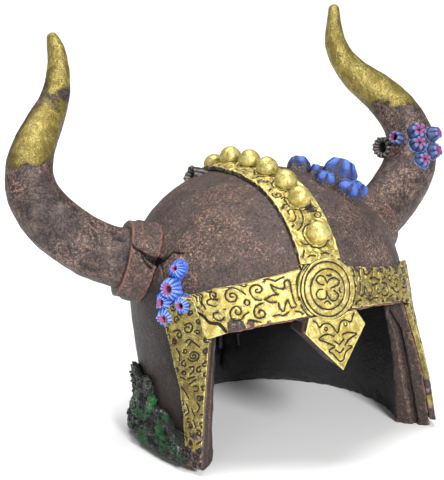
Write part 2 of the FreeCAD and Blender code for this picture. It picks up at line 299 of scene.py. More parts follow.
def gilt_finish(look):
    """Gilt over brown, dark in the engraving and rubbed bright on its edges."""
    f = Finish("gilt_leaf")
    mottle = f.grain(4.5, 4, 0.6)
    grit = f.grain(0.8, 3, 0.7)
    lump = f.grain(2.0, 2, 0.5)
    carve = f.carved("carve")
    dusk = f.carved("dusk")
    edge = f.carved("edge")
    worn = f.carved("worn")
    gold = f.mix(look.gold, look.gold_light, f.ramp(mottle * 0.35 + lump * 0.65 + edge * 0.25, 0.40, 0.62))
    fleck = f.grain(0.55, 2, 0.6)
    gold = f.mix(gold, (0.190, 0.125, 0.040), f.ramp(grit * 0.5 + mottle * 0.5, 0.52, 0.66) * 0.6)
    gold = f.mix(gold, (0.060, 0.038, 0.016), f.ramp(fleck * 0.6 + mottle * 0.4, 0.56, 0.64) * 0.75)
    gold = f.mix(gold, (0.110, 0.072, 0.028), dusk * f.ramp(fleck * 0.5 + mottle * 0.5, 0.44, 0.60) * 0.7)
    # painted shade: pieces given painted_shade are dimmed towards dark gold
    gilt_shade = f.carved("painted_shade")
    gilt_shade = gilt_shade * (0.45 + f.ramp(fleck * 0.5 + mottle * 0.5, 0.42, 0.56) * 0.55)
    gold = f.mix(gold, (0.095, 0.070, 0.022), gilt_shade)
    rubbed = f.ramp(edge + (grit - 0.5) * 0.4, 0.14, 0.45) * (1.0 - carve)
    gold = f.mix(gold, look.gold_light, rubbed.clamped() * 0.8)
    bare = f.ramp(worn + (mottle - 0.5) * 1.3 + (grit - 0.5) * 0.6, 0.52, 0.62)
    iron = f.mix(look.iron_dark, look.iron, f.ramp(grit, 0.4, 0.6))
    iron = f.mix(iron, look.copper, f.ramp(lump, 0.56, 0.64) * 0.35)
    body = f.mix(gold, iron, bare)
    body = f.mix(body, look.wash, f.ramp(carve, 0.25, 0.75))
    metal = ((1.0 - bare) * (1.0 - carve) * 0.5).clamped()
    rough = (0.40 + (grit - 0.5) * 0.4 + bare * 0.15 + carve * 0.2).clamped()
    height = grit * 0.5 + lump * 0.6 + mottle * 0.4 - bare * 0.5
    return f.dress(body, rough, metal, height, 0.0004)


def coral_finish(look, name, body_colour, tip_colour, bloom_colour, foot=0.55):
    """Painted polyps: blue cups, dark in the grooves, pink in the mouth."""
    f = Finish(name)
    mottle = f.grain(2.2, 4, 0.6)
    grit = f.grain(0.6, 3, 0.7)
    along = f.carved("along")
    mouth = f.carved("mouth")
    groove = f.carved("groove")
    body = f.mix(body_colour, tip_colour, f.ramp(along * 0.6 + mottle * 0.6 - groove * 0.35, 0.45, 0.85))
    body = f.mix(body, bloom_colour, f.ramp(mouth + (mottle - 0.5) * 0.8, 0.42, 0.62))
    body = f.mix(body, bloom_colour, f.ramp(mottle, 0.60, 0.70) * 0.45)
    body = f.mix(body, look.shade, f.ramp(groove + (grit - 0.5) * 0.5, 0.45, 0.85) * 0.75)
    brown = f.mix(look.shade, (0.150, 0.110, 0.095), f.ramp(grit, 0.45, 0.65))
    body = f.mix(body, brown, f.ramp(foot - along + (mottle - 0.5) * 0.9, 0.0, 0.22))
    body = f.mix(body, (0.004, 0.003, 0.006), f.ramp(mouth, 1.4, 1.8))
    rough = (0.48 + (grit - 0.5) * 0.4).clamped()
    return f.dress(body, rough, 0.0, grit * 0.7 + mottle * 0.5, 0.0003)


def barnacle_finish(look):
    """Dark ridged barnacles with pale rubbed ribs and a black mouth."""
    f = Finish("barnacle_paint")
    mottle = f.grain(2.4, 4, 0.6)
    grit = f.grain(0.5, 3, 0.7)
    groove = f.carved("groove")
    mouth = f.carved("mouth")
    rubbed = f.ramp(grit * 0.6 + mottle * 0.5 - groove * 0.5, 0.28, 0.62)
    body = f.mix((0.030, 0.026, 0.024), (0.210, 0.190, 0.155), rubbed)
    body = f.mix(body, (0.070, 0.050, 0.075), f.ramp(mottle, 0.52, 0.62) * 0.6)
    body = f.mix(body, look.shade, f.ramp(groove, 0.4, 0.9) * 0.8)
    body = f.mix(body, (0.004, 0.004, 0.004), f.ramp(mouth, 1.2, 1.6))
    rough = (0.5 + (grit - 0.5) * 0.4).clamped()
    return f.dress(body, rough, 0.0, grit * 0.7 + mottle * 0.5, 0.0004)


def moss_finish(look):
    """Wet black moss, green on its lobes, with pale crumbs."""
    f = Finish("wet_moss")
    broad = f.grain(12, 3)
    fibres = f.stretched((0.5, 0.3, 0.0), (1.0, 0.45, 1.0))
    mottle = f.grain(2.6, 5, 0.65, 0.8, fibres)
    grit = f.grain(0.7, 3, 0.7, 0.4, fibres)
    lobe = f.carved("lobe")
    green = f.ramp(broad * 0.55 + mottle * 0.4 + lobe * 0.3, 0.54, 0.74)
    body = f.mix(look.moss_dark, look.moss, green)
    body = f.mix(body, (0.030, 0.130, 0.042), green * f.ramp(mottle, 0.52, 0.66) * 0.7)
    body = f.mix(body, (0.060, 0.060, 0.055), f.ramp(mottle, 0.50, 0.60) * (1.0 - green) * 0.8)
    crumb = f.ramp(grit * 0.5 + mottle * 0.5, 0.56, 0.66) * (1.0 - green * 0.6)
    body = f.mix(body, look.moss_pale, crumb * 0.9)
    rough = (0.22 + (grit - 0.5) * 0.5).clamped()
    return f.dress(body, rough, 0.0, grit * 0.8 + mottle * 1.2, 0.0014)


def fitting_finish():
    """Dark moulded plastic with fine scuffs."""
    f = Finish("dark_plastic")
    mottle = f.grain(4, 4, 0.6)
    scuff = f.grain(1.2, 3, 0.7, where=f.stretched((0, 0, 0.4), (1, 1, 5)))
    body = f.mix((0.020, 0.021, 0.023), (0.060, 0.062, 0.066), f.ramp(mottle * 0.5 + scuff * 0.5, 0.45, 0.7))
    rough = (0.36 + (scuff - 0.5) * 0.3).clamped()
    return f.dress(body, rough, 0.0, scuff * 0.4 + mottle * 0.3, 0.0001)


def hose_finish():
    """Soft black air hose, a little dusty."""
    f = Finish("soft_hose")
    mottle = f.grain(6, 3, 0.6)
    cloud = f.grain(1.5, 3, 0.6)
    body = f.mix((0.008, 0.008, 0.009), (0.022, 0.023, 0.024), f.ramp(mottle * 0.6 + cloud * 0.4, 0.4, 0.65))
    rough = (0.64 + (cloud - 0.5) * 0.25).clamped()
    return f.dress(body, rough, 0.0, cloud * 0.3 + mottle * 0.3, 0.0001, **{"Specular IOR Level": 0.1})


def floor_finish():
    """Plain pale paper."""
    f = Finish("pale_floor")
    fibre = f.grain(40, 4, 0.6)
    body = f.mix((0.86, 0.86, 0.86), (0.89, 0.89, 0.89), fibre)
    return f.dress(body, 0.8, 0.0, fibre * 0.1, 0.0001)


# ---- carving tools ----
def new_piece(bm, name, material, slot, *nodes):
    """Makes the piece's object, smooth shaded, standing for its CAD nodes."""
    for face in bm.faces:
        face.smooth = True
    mesh = bpy.data.meshes.new(name)
    bm.to_mesh(mesh)
    bm.free()
    piece = bpy.data.objects.new(name, mesh)
    bpy.context.scene.collection.objects.link(piece)
    mesh.materials.append(material)
    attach(piece, "root")
    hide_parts(*nodes)
    return piece


def merged_copy(node):
    """The CAD node's surface with its loose triangles joined."""
    bm = bmesh.new()
    bm.from_mesh(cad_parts[node].data)
    bmesh.ops.remove_doubles(bm, verts=bm.verts, dist=1e-6)
    return bm


def grained(node, size, soften=2):
    """An even-grained copy of the CAD node, its corners eased, ready for carving."""
    bm = merged_copy(node)
    mesh = bpy.data.meshes.new("grain")
    bm.to_mesh(mesh)
    bm.free()
    rough = bpy.data.objects.new("grain", mesh)
    bpy.context.scene.collection.objects.link(rough)
    even = rough.modifiers.new("Grain", "REMESH")
    even.mode = "VOXEL"
    even.voxel_size = size
    bpy.context.view_layer.update()
    done = bpy.data.meshes.new_from_object(rough.evaluated_get(bpy.context.evaluated_depsgraph_get()))
    bm = bmesh.new()
    bm.from_mesh(done)
    bpy.data.objects.remove(rough)
    bpy.data.meshes.remove(mesh)
    bpy.data.meshes.remove(done)
    add_values(bm, "edge", "carve", "dusk", "worn", "inside", "gild_and_shade", "lobe", "stain", "painted_shade")
    for _ in range(soften):
        bmesh.ops.smooth_vert(
            bm, verts=bm.verts, factor=0.5, use_axis_x=True, use_axis_y=True, use_axis_z=True
        )
    bm.normal_update()
    return bm


def smooth(low, high, value):
    """0 at low, 1 at high and smooth between."""
    t = min(1.0, max(0.0, (value - low) / (high - low)))
    return t * t * (3 - 2 * t)


def add_values(bm, *names):
    """Gives every point a number of each name, before any of them is used."""
    for name in names:
        bm.verts.layers.float.new(name)


def layer(bm, name):
    """The piece's own value of that name, one number for each point."""
    return bm.verts.layers.float[name]


def outwardness(vert):
    """1 on the helmet's outside, -1 in its hollow, near 0 on a cut edge."""
    at = vert.co
    centre = Vector((0, -0.006, min(at.z, 0.045)))
    return (at - centre).normalized().dot(vert.normal)


def edge_values(bm, reach):
    """Stores how far each point stands out from its neighbours, 1 on a sharp edge."""
    edge = layer(bm, "edge")
    for vert in bm.verts:
        others = [e.other_vert(vert).co for e in vert.link_edges]
        middle = sum(others, Vector()) / len(others)
        vert[edge] = (vert.co - middle).dot(vert.normal) / reach
    for _ in range(2):
        eased = []
        for vert in bm.verts:
            beside = [e.other_vert(vert)[edge] for e in vert.link_edges]
            eased.append(sum(beside, vert[edge] * 2) / (len(beside) + 2))
        for vert, value in zip(bm.verts, eased):
            vert[edge] = value
    for vert in bm.verts:
        vert[edge] = min(1.0, max(0.0, vert[edge]))


def knock(bm, *lumps, seed=0, where=None):
    """Moves points along their normals by noise, each lump as (size, height) in metres."""
    shift = Vector((seed * 3.7, seed * 1.9, seed * 5.3))
    for vert in bm.verts:
        if where is not None and not where(vert):
            continue
        rise = sum(noise.noise(vert.co / size + shift) * height for size, height in lumps)
        vert.co += vert.normal * rise
    bm.normal_update()


def flowing(points, step=0.12):
    """Points along a smooth stroke through the given ones, step apart."""
    points = [Vector(p).to_3d() for p in points]
    if len(points) == 2:
        points.insert(1, (points[0] + points[1]) / 2)
    ends = [points[0] * 2 - points[1]] + points + [points[-1] * 2 - points[-2]]
    out = []
    for a, b, c, d in zip(ends, ends[1:], ends[2:], ends[3:]):
        count = max(1, int((c - b).length / step))
        for i in range(count):
            t = i / count
            out.append(
                b + (c - a) * (t / 2) + (a * 2 - b * 5 + c * 4 - d) * (t * t / 2)
                + (b * 3 - a - c * 3 + d) * (t * t * t / 2)
            )
    out.append(points[-1])
    return out


def ring(x, y, radius, start=0.0, turns=1.0, end_radius=None):
    """A ring, an arc or a spiral about (x, y)."""
    end_radius = radius if end_radius is None else end_radius
    count = max(6, int(16 * abs(turns)))
    out = []
    for i in range(count + 1):
        t = i / count
        angle = math.radians(start) + math.tau * turns * t
        r = radius + (end_radius - radius) * t
        out.append((x + r * math.cos(angle), y + r * math.sin(angle)))
    return out


def nearest_line(strokes):
    """A finder of the distance from a point to the strokes."""
    samples = [p for stroke in strokes for p in flowing(stroke)]
    tree = KDTree(len(samples))
    for i, p in enumerate(samples):
        tree.insert(p, i)
    tree.balance()
    return tree


def hammer(bm, depth, seed):
    """Deep uneven modelling of a band's face, its hollows left dusky."""
    dusk = layer(bm, "dusk")
    shift = Vector((seed, 2 * seed, 3 * seed))
    for vert in bm.verts:
        if outwardness(vert) < 0.5:
            continue
        fold = abs(noise.noise(vert.co / 0.0034 + shift)) * 2.0
        low = 1.0 - smooth(0.10, 0.42, fold)
        vert[dusk] = max(vert[dusk], low * 1.1)
        vert.co -= vert.normal * depth * low
    bm.normal_update()


def filled(bm, place, strokes, seed, gap):
    """The strokes with small hooks between them, none nearer than gap mm."""
    chance = random.Random(seed)
    out = list(strokes)
    open_to = [v for v in bm.verts if outwardness(v) > 0.5]
    marks = [p for stroke in strokes for p in flowing(stroke, 0.5)]
    for _ in range(700):
        at = Vector(place(chance.choice(open_to).co)).to_3d()
        if min((at - p).length for p in marks) < gap:
            continue
        turns = chance.choice((-1, 1)) * chance.uniform(0.55, 1.35)
        hook = ring(at.x, at.y, 0.3, chance.uniform(0, 360), turns, chance.uniform(0.9, 1.35))
        out.append(hook)
        marks += flowing(hook, 0.5)
    return out


def engrave(bm, place, strokes, carving, wide=1.0):
    """Cuts the strokes into the outside; place gives a point's spot on them in mm."""
    carve, dusk = layer(bm, "carve"), layer(bm, "dusk")
    tree = nearest_line(strokes)
    half = carving.line / MM / 2 * wide
    for vert in bm.verts:
        if outwardness(vert) < 0.45:
            continue
        spot = Vector(place(vert.co)).to_3d()
        gap = tree.find(spot)[2]
        gap += noise.noise(vert.co / 0.0011) * 0.10
        if gap > half * 5:
            continue
        cut = 1.0 - smooth(half * 0.45, half * 1.25, gap)
        vert[carve] = max(vert[carve], cut)
        vert[dusk] = max(vert[dusk], 1.0 - smooth(half, half * 4.5, gap))
        vert.co -= vert.normal * carving.depth * cut
    bm.normal_update()


def spots(bm, name, place, marks):
    """Adds soft round marks, each (a, b, radius, strength), to a stored value."""
    value = layer(bm, name)
    for vert in bm.verts:
        spot = Vector(place(vert.co)).to_3d()
        for a, b, radius, strength in marks:
            gap = (spot - Vector((a, b, 0))).length
            vert[value] = max(vert[value], strength * (1.0 - smooth(radius * 0.5, radius, gap)))


def stain_near(bm, feet, reach):
    """Marks paint that spread from the feet of the growths, given in mm."""
    stain = layer(bm, "stain")
    for vert in bm.verts:
        gap = min((vert.co / MM - Vector(foot)).length for foot in feet)
        vert[stain] = max(vert[stain], 1.0 - smooth(reach * 0.55, reach, gap))


def split_open(bm, lines, depth, refine=True, paint=1.0):
    """Opens cracks along 3-D lines given in mm, each point with its own half width."""
    carve = layer(bm, "carve")
    samples = []
    for line in lines:
        for a, b in zip(line, line[1:]):
            for i in range(12):
                t = i / 12
                samples.append([p + (q - p) * t for p, q in zip(a, b)])
    skin = BVHTree.FromBMesh(bm)
    tree = KDTree(len(samples))
    for i, sample in enumerate(samples):
        tree.insert(skin.find_nearest(Vector(sample[:3]) * MM)[0], i)
    tree.balance()
    if refine:
        near = {v for v in bm.verts if tree.find(v.co)[2] < 0.0035}
        cuts = [e for e in bm.edges if e.verts[0] in near and e.verts[1] in near]
        bmesh.ops.subdivide_edges(bm, edges=cuts, cuts=1, use_grid_fill=True)
        bmesh.ops.triangulate(bm, faces=[f for f in bm.faces if len(f.verts) > 4])
        bm.normal_update()
    for vert in bm.verts:
        _, index, gap = tree.find(vert.co)
        half = samples[index][3] * MM
        gap += noise.noise(vert.co / 0.0015) * 0.00022
        if gap < half * 2:
            cut = 1.0 - smooth(half * 0.5, half * 1.2, gap)
            vert[carve] = max(vert[carve], cut * paint)
            vert.co -= vert.normal * depth * cut
    bm.normal_update()


# ---- engraved drawings, in mm on each band ----
def band_place(at):
    """Distance round the brow and height, from a point's place."""
    run = (0, 10, 20, 30, 40, 43, 45, 52)
    arc = (0, 10.03, 20.26, 31.03, 43.07, 47.19, 50.19, 61.5)
    x = min(abs(at.x) / MM, 51.9)
    i = max(k for k in range(len(run) - 1) if run[k] <= x)
    u = arc[i] + (arc[i + 1] - arc[i]) * (x - run[i]) / (run[i + 1] - run[i])
    return (math.copysign(u, at.x), at.z / MM)


CREST_START = 60
CREST_MM_PER_DEGREE = 0.848
CREST_AXIS_Z = 0.05


def crest_run(turn):
    """Distance in mm along the crest from its front end, from degrees round it."""
    return (turn + CREST_START) * CREST_MM_PER_DEGREE


def crest_place(at):
    """Distance across and along the crest, from a point's place."""
    return (at.x / MM, crest_run(math.degrees(math.atan2(at.y, at.z - CREST_AXIS_Z))))


def front_place(at):
    return (at.x / MM, at.z / MM)


def side_place(at):
    return (at.y / MM, at.z / MM)


BROW_SCROLLS = [
    ring(-42.5, 63.1, 0.3, 200, 1.3, 1.7) + [(-43.9, 61.8), (-45.3, 61.0), (-45, 59.8), (-42.5, 59.4)],
    [(-48.5, 63), (-49.2, 61.8), (-49.1, 60.7)],
    [(-47.5, 63), (-47.9, 61.1), (-47.5, 59.4)],
    [(-46.5, 63), (-47.3, 60.7), (-46.3, 58.2)],
    [(-31.2, 63.8), (-32.9, 65), (-35, 65.9), (-36.7, 65.5), (-38.3, 64), (-38.5, 62.3), (-37.3, 61.2),
     (-35.4, 61.5), (-34.5, 63), (-35.4, 64), (-36.7, 63.8), (-36.7, 62.8), (-35.8, 62.8)],
    [(-33.5, 67.1), (-32.3, 66.9), (-31.2, 66.3), (-30, 66.9)],
    ring(-31, 60.9, 0.95),
    [(-25.8, 61.5), (-27.9, 61.9), (-29.2, 63.6), (-29.4, 65.3), (-28.3, 66.5), (-26.7, 66.8), (-25.2, 66.1),
     (-25.1, 65), (-26, 64.2), (-27.3, 64.3), (-27.4, 65), (-26.7, 65.3)],
    [(-24, 67.8), (-22.9, 68.6), (-21.3, 68.4), (-19.8, 67.8), (-18.3, 68.4), (-16.5, 69)],
    [(-21.7, 66.7), (-21, 64.8), (-19.6, 63.1)],
    [(-21.7, 66.7), (-20.4, 65.9), (-18.3, 65), (-16.9, 65.3), (-16.5, 67.3), (-15.2, 67.8), (-14.6, 67.1),
     (-14.4, 63.6), (-13.8, 60.3), (-13.1, 59)],
    [(-24.6, 61.7), (-23.3, 62.3), (-21.7, 63), (-19.4, 63.1)],
    [(-24.6, 61.7), (-22.5, 60.7), (-20.4, 60.6)],
    [(-19.8, 60.3), (-19.6, 58.6), (-18.3, 57.3), (-17.3, 59.4), (-16.3, 61.1), (-15.8, 59.8), (-15.2, 58.3),
     (-13.5, 58.4)],
    [(-12.1, 65.3), (-11.7, 67.8), (-10.6, 69.4)],
    [(-12.1, 61.9), (-10.6, 59.8), (-9.8, 57.3)],
    [(-30.8, 57.5), (-32.7, 56.5), (-34.2, 55), (-36.7, 54.8), (-37.7, 56.1), (-37.3, 58.2), (-35.4, 59.6),
     (-33.8, 59), (-33.7, 57.5), (-34.8, 56.7), (-35.8, 57.3), (-35.4, 58.2)],
    [(-25.4, 60.5), (-27.1, 60), (-28.5, 58.8), (-29, 56.9), (-27.9, 55.5), (-26, 55.7), (-25.1, 56.9),
     (-25.8, 58), (-26.9, 58.2), (-27.3, 57.3)],
    [(-31.3, 54.8), (-29.2, 54.6), (-27.1, 54)],
    [(-22.3, 55.9), (-20.4, 56.1), (-18.3, 55.9), (-16.3, 56.9)],
    [(-13.8, 56.9), (-12.1, 56.5), (-11, 55.7)],
    [(-42.1, 57.3), (-43.5, 56.9), (-43.8, 55.7), (-42.5, 54.6), (-40.8, 54.8), (-40, 55.7)],
    [(-39.8, 58.4), (-39.2, 58.6)],
    [(-52, 61.7), (-51, 59.8), (-50.6, 56.5), (-50, 54), (-49.2, 49.4), (-48, 47.8)],
]
BROW_CRACK = [[(-50, 56.5), (-47.5, 55.7), (-45.4, 53.6), (-42, 53.2), (-40, 50.7)]]
BROW_MIDDLE = [
    [(-8.5, 70.6), (-6.4, 72), (-3.1, 72.9)],
    [(-0.6, 73.3), (1.9, 73.3), (4.8, 72.2)],
    [(-6.6, 55), (-4.7, 53.7), (-2, 53.3)],
    [(2.3, 53.9), (4.8, 54.3), (6.9, 55.2)],
    ring(0, 63, 12.2, 112, 0.22),
    ring(0, 63, 12.2, 200, 0.12),
    ring(0, 63, 12.2, 300, 0.2),
]
MEDALLION = [
    ring(-0.5, 63.3, 9.4),
    ring(-0.5, 63.3, 7.0),
    [(-2, 65), (-3.9, 65.6), (-4.7, 67), (-3.5, 68.3), (-1.8, 67.9), (-0.8, 66.4), (-0.6, 65.4)],
    [(-0.6, 65.4), (0.7, 66.6), (2.8, 66.8), (4.4, 65.6), (4.4, 64.8), (2.8, 63.9), (0.7, 63.5)],
    [(1.9, 62.5), (3.6, 60.6), (2.3, 59.1), (0.7, 59.1), (-0.6, 60.6), (-1.3, 62.9)],
    [(-1.3, 62.9), (-1.6, 60.6), (-3.1, 60.1), (-5, 60.8), (-5.4, 62.3), (-4.3, 63.5), (-2.7, 63.5)],
    [(-0.2, 68.1), (0.7, 67.7), (1.5, 67.9)],
    [(4.4, 63.1), (4, 62.3), (4.6, 61.4)],
    [(-2.7, 58.7), (-1.4, 59.3), (-0.2, 58.1)],
]
NOSE_GUARD = [
    [(-7, 53.5), (-6, 52.7), (-5.1, 51), (-3.5, 51.8), (-1.4, 51.8), (0.25, 50.6), (1.8, 48.3), (3.2, 50.6),
     (4.4, 51.8), (6.1, 51.8), (8, 51), (9.2, 52.7), (10, 53.7)],
    ring(-2.6, 50.1, 0.55),
    ring(5.7, 50.6, 0.6, 150, 0.7),
    [(0, 47.3), (-2.3, 48.3), (-4.3, 48.2), (-6.2, 47.3), (-5.2, 46.6), (-2.7, 45.4), (-0.4, 44.1)],
    [(3.6, 47.3), (5.3, 47.7), (7.3, 47.5), (9.4, 46.8), (7.3, 46), (5.3, 45), (3.8, 43.7)],
    [(-0.2, 45.6), (1.7, 44.3)],
    [(1.7, 44.3), (3.8, 45.8)],
    [(-0.6, 43.7), (-1.8, 43.5), (-3.1, 42.8), (-1.6, 41.4), (0, 39.3), (1.1, 38.8), (2.3, 39.3),
     (3.6, 41.4), (6.5, 42.9), (5.3, 43.3)],
    [(-0.4, 42.7), (1.3, 41.6), (3, 42.7)],
]
CHEEK_SCROLLS = [
    [(-27.4, 51.6), (-28.7, 52.6), (-29.9, 51.8), (-29.9, 49.9), (-28.7, 49.3), (-27.8, 50.1), (-28, 51.1),
     (-28.9, 51.2)],
    [(-23.7, 48.7), (-25.3, 49.5), (-26.6, 49.1), (-27, 47.6), (-26.2, 47), (-25.3, 47.6), (-25.8, 48.5)],
    [(-28.7, 45.8), (-29.5, 46.8), (-30.8, 46.6), (-33.5, 44.9)],
    [(-30.8, 46.6), (-29.9, 44.9)],
    ring(-32.5, 41.5, 0.3, 0, 1.9, 2.0),
    [(-26, 42.8), (-27.6, 41.2), (-28, 39.1)],
    [(-32, 37.4), (-33.3, 37.8), (-33.7, 36.2), (-32.8, 34.9)],
    [(-32.4, 33.3), (-34.5, 34.5)],
    [(-33.5, 31.6), (-35.3, 33.7)],
    [(-29.5, 33.3), (-31.6, 32.8)],
    [(-35.1, 31.2), (-36.6, 31.4), (-37, 29.9), (-35.8, 29.5)],
    [(-30.3, 29.9), (-32.4, 28.7), (-34.5, 26.6)],
    [(-33.7, 24.5), (-35.3, 22), (-34.1, 20.3)],
    [(-37.8, 25.8), (-39, 24.5), (-38.7, 22.8)],
    [(-36.2, 23.3), (-37.8, 21.2)],
    [(-37.8, 19.5), (-39, 17)],
    [(-40.3, 11.2), (-42, 12.8)],
]
CREST_SCROLLS = [
    [(-5.9, 0.2), (-4.5, 0.7), (-2.6, 0.2)],
    [(-0.2, 0.5), (1.7, 0.9), (3.1, 0.2)],
    [(-7.6, 0.5), (-6.6, 2.9)],
    [(-6.9, 6.4), (-5.4, 5.2), (-3.8, 4.5)],
    [(-6.4, 10.9), (-4.5, 11.9), (-3.1, 13.8), (-1.9, 16.1), (-1.3, 20)],
    [(-7.6, 15.4), (-6.4, 15), (-5, 15.7), (-4.3, 17.6), (-4, 19.5), (-5, 20.4), (-6.2, 19.8), (-6.2, 18.2)],
    [(-7.6, 21.6), (-6.4, 22.8), (-5, 23.3)],
    [(-7.8, 12.6), (-6.5, 13.5)],
    [(2.9, 18), (4.3, 17.6), (5.2, 18.5)],
]
# a curl below and a curl above each scroll, as steps from its middle
CREST_CURLS = (
    [(-3.2, -3.5), (-1.6, -2.2), (0.0, -3.0)],
    [(1.7, 3.2), (0.0, 4.2), (-2.2, 3.6)],
)

# cracks and channels on the surface, each point as x, y, z and its half width in mm
CHEEK_CHANNEL = [
    (37.0, -30.0, 44.0, 0.7), (39.6, -32.6, 37.1, 1.2), (40.8, -33.8, 29.4, 1.5), (42.0, -35.0, 21.6, 1.6),
    (42.9, -35.9, 13.7, 1.6), (44.0, -37.0, 5.9, 1.5), (45.0, -38.0, 0.5, 1.2),
]
SHELL_CRACK = [
    [(-48.3, -4.6, 69.2, 2.4), (-47.6, -8.0, 70.0, 1.7), (-45.8, -10.9, 72.7, 0.7), (-44.4, -12.1, 74.4, 0.5),
     (-42.2, -17.2, 74.6, 0.25)],
    [(-47.6, -8.0, 70.0, 0.7), (-48.1, -11.2, 67.9, 0.4), (-49.0, -14.5, 63.3, 0.25)],
]
HORN_CRACK = [[(-56.5, 2.2, 77.4, 0.45), (-59.5, 2.6, 79.6, 0.35), (-61.0, 1.6, 78.4, 0.25)]]
COLLAR_CRACK = [
    [(-57.0, 1.5, 77.5, 0.4), (-55.2, -1.6, 75.5, 0.5), (-53.1, -3.0, 73.6, 0.7), (-51.0, -5.1, 71.6, 1.3),
     (-49.3, -6.5, 69.9, 2.4)],
    [(-53.1, -3.0, 73.6, 0.4), (-52.6, -5.6, 70.6, 0.45), (-50.8, -7.4, 67.6, 0.5)],
]

# turn of each stud round the crest, in degrees from straight up
STUD_TURNS = (-50.8, -31.8, -19.3, -3.2, 12.0, 28.4, 43.0, 56.6, 69.4)


def mirrored_strokes(strokes, stretch=1.0):
    return [[(-x * stretch, y) for x, y in stroke] for stroke in strokes]


def crest_strokes():
    """The front of the crest as drawn, then scrolls between the other studs."""
    strokes = list(CREST_SCROLLS)
    for turn in STUD_TURNS:
        strokes.append(ring(0.0, crest_run(turn), 4.9, turn * 7, 0.9))
    chance = random.Random(7)
    places = [crest_run(turn) for turn in STUD_TURNS]
    places.append(places[-1] + 12)
    for k, (a, b) in enumerate(zip(places, places[1:])):
        middle = (a + b) / 2
        for side in (-1, 1):
            if k == 0 and side < 0:
                continue
            x = -1.0 + side * chance.uniform(4.9, 5.6)
            turn = chance.uniform(0, 360)
            strokes.append(ring(x, middle + chance.uniform(-1, 1), 0.5, turn, 1.2 * side, 2.1))
            for curl in CREST_CURLS:
                strokes.append([(x + side * a, middle + b) for a, b in curl])
    return strokes


# ---- growths ----
def stand(bm, base, aim):
    """Turns the growth to its aim and stands it on its base, in mm."""
    aim = Vector(aim).normalized()
    turn = aim.to_track_quat("Z", "Y").to_matrix().to_4x4()
    bmesh.ops.transform(bm, matrix=Matrix.Translation(Vector(base) * MM) @ turn, verts=bm.verts)


def growth(base, aim, profile, ribs=0, rib_depth=0.0, sides=48, seed=0, rough=0.12, sag=0.0, flat=0):
    """A ribbed growth spun up from rings of (radius, height, along, mouth), in mm.

    flat gives the number of crystal faces round it, or 0 for a round one.
    """
    bm = bmesh.new()
    add_values(bm, "along", "mouth", "groove")
    along, mouth, groove = layer(bm, "along"), layer(bm, "mouth"), layer(bm, "groove")
    start = bmesh.ops.create_circle(bm, segments=sides, radius=profile[0][0] * MM, cap_ends=False)["verts"]
    bmesh.ops.translate(bm, verts=start, vec=(0, 0, profile[0][1] * MM))
    loop = list(start)
    rows = [loop]
    for radius, height, _, _ in profile[1:]:
        edges = [e for e in bm.edges if e.verts[0] in loop and e.verts[1] in loop]
        made = bmesh.ops.extrude_edge_only(bm, edges=edges)["geom"]
        loop = [g for g in made if isinstance(g, bmesh.types.BMVert)]
        previous = math.hypot(loop[0].co.x, loop[0].co.y)
        bmesh.ops.scale(bm, verts=loop, vec=(radius * MM / previous, radius * MM / previous, 1))
        bmesh.ops.translate(bm, verts=loop, vec=(0, 0, height * MM - loop[0].co.z))
        rows.append(loop)
    for row, (radius, height, how_far, how_deep) in zip(rows, profile):
        for vert in row:
            angle = math.atan2(vert.co.y, vert.co.x)
            wave = 0.5 - 0.5 * math.cos(angle * ribs + seed) if ribs else 0.0
            wave = wave ** 1.6
            reach = smooth(0.0, 0.3, how_far) if how_deep < 1 else 0.35
            scale = 1.0 - rib_depth * wave * reach
            if flat:
                wedge = math.tau / flat
                part = (angle + seed) % wedge - wedge / 2
                scale *= math.cos(wedge / 2) / math.cos(part) * 1.06
            wobble = noise.noise(Vector((math.cos(angle), math.sin(angle), height * 0.25 + seed * 2.3)))
            scale *= 1.0 + rough * wobble
            vert.co.x *= scale
            vert.co.y *= scale
            vert.co.z += sag * MM * wobble * how_far
            vert[along] = how_far
            vert[mouth] = how_deep
            vert[groove] = wave if ribs else max(0.0, -wobble)
    bmesh.ops.contextual_create(bm, geom=rows[0])
    bmesh.ops.contextual_create(bm, geom=rows[-1])
    bmesh.ops.recalc_face_normals(bm, faces=bm.faces)
    stand(bm, base, aim)
    bm.normal_update()
    knock(bm, (0.0011, 0.00012), (0.0005, 0.00005), seed=seed)
    return bm


def cup_profile(foot, lip, height, sink=3.0, crater=0.6, depth=0.5):
    """A cup with a rolled lip and an open crater."""
    rows = [(foot * 1.02, -sink, 0.0, 0.0)]
    for i in range(7):
        t = i / 6
        swell = foot + (lip - foot) * t + 0.10 * foot * math.sin(math.pi * t)
        rows.append((swell, height * 0.92 * t, t * 0.9, 0.0))
    rows += [
        (lip * 1.03, height * 0.97, 0.95, 0.0),
        (lip * 0.97, height * 1.02, 1.0, 0.1),
        (lip * (crater * 0.35 + 0.6), height * 1.03, 1.0, 0.5),
        (lip * crater, height * 0.98, 1.0, 1.0),
        (lip * crater * 0.86, height * (1 - depth * 0.4), 1.0, 1.3),
        (lip * crater * 0.66, height * (1 - depth * 0.8), 1.0, 1.8),
        (lip * crater * 0.30, height * (1 - depth), 1.0, 2.0),
    ]
    return rows


def stub_profile(foot, tip, height, sink=3.0):
    """A stub that narrows to a blunt, rubbed tip."""
    rows = [(foot, -sink, 0.0, 0.0)]
    for i in range(8):
        t = i / 7
        rows.append((foot * (1 - 0.06 * t), height * 0.60 * t, t * 0.6, 0.0))
    rows += [
        (foot * 0.60 + tip * 0.34, height * 0.78, 0.78, 0.0),
        (tip * 1.02, height * 0.97, 0.96, 0.0),
        (tip * 0.94, height, 1.0, 0.0),
        (tip * 0.40, height * 1.04, 1.0, 0.2),
        (tip * 0.10, height * 1.05, 1.0, 0.2),
    ]
    return rows


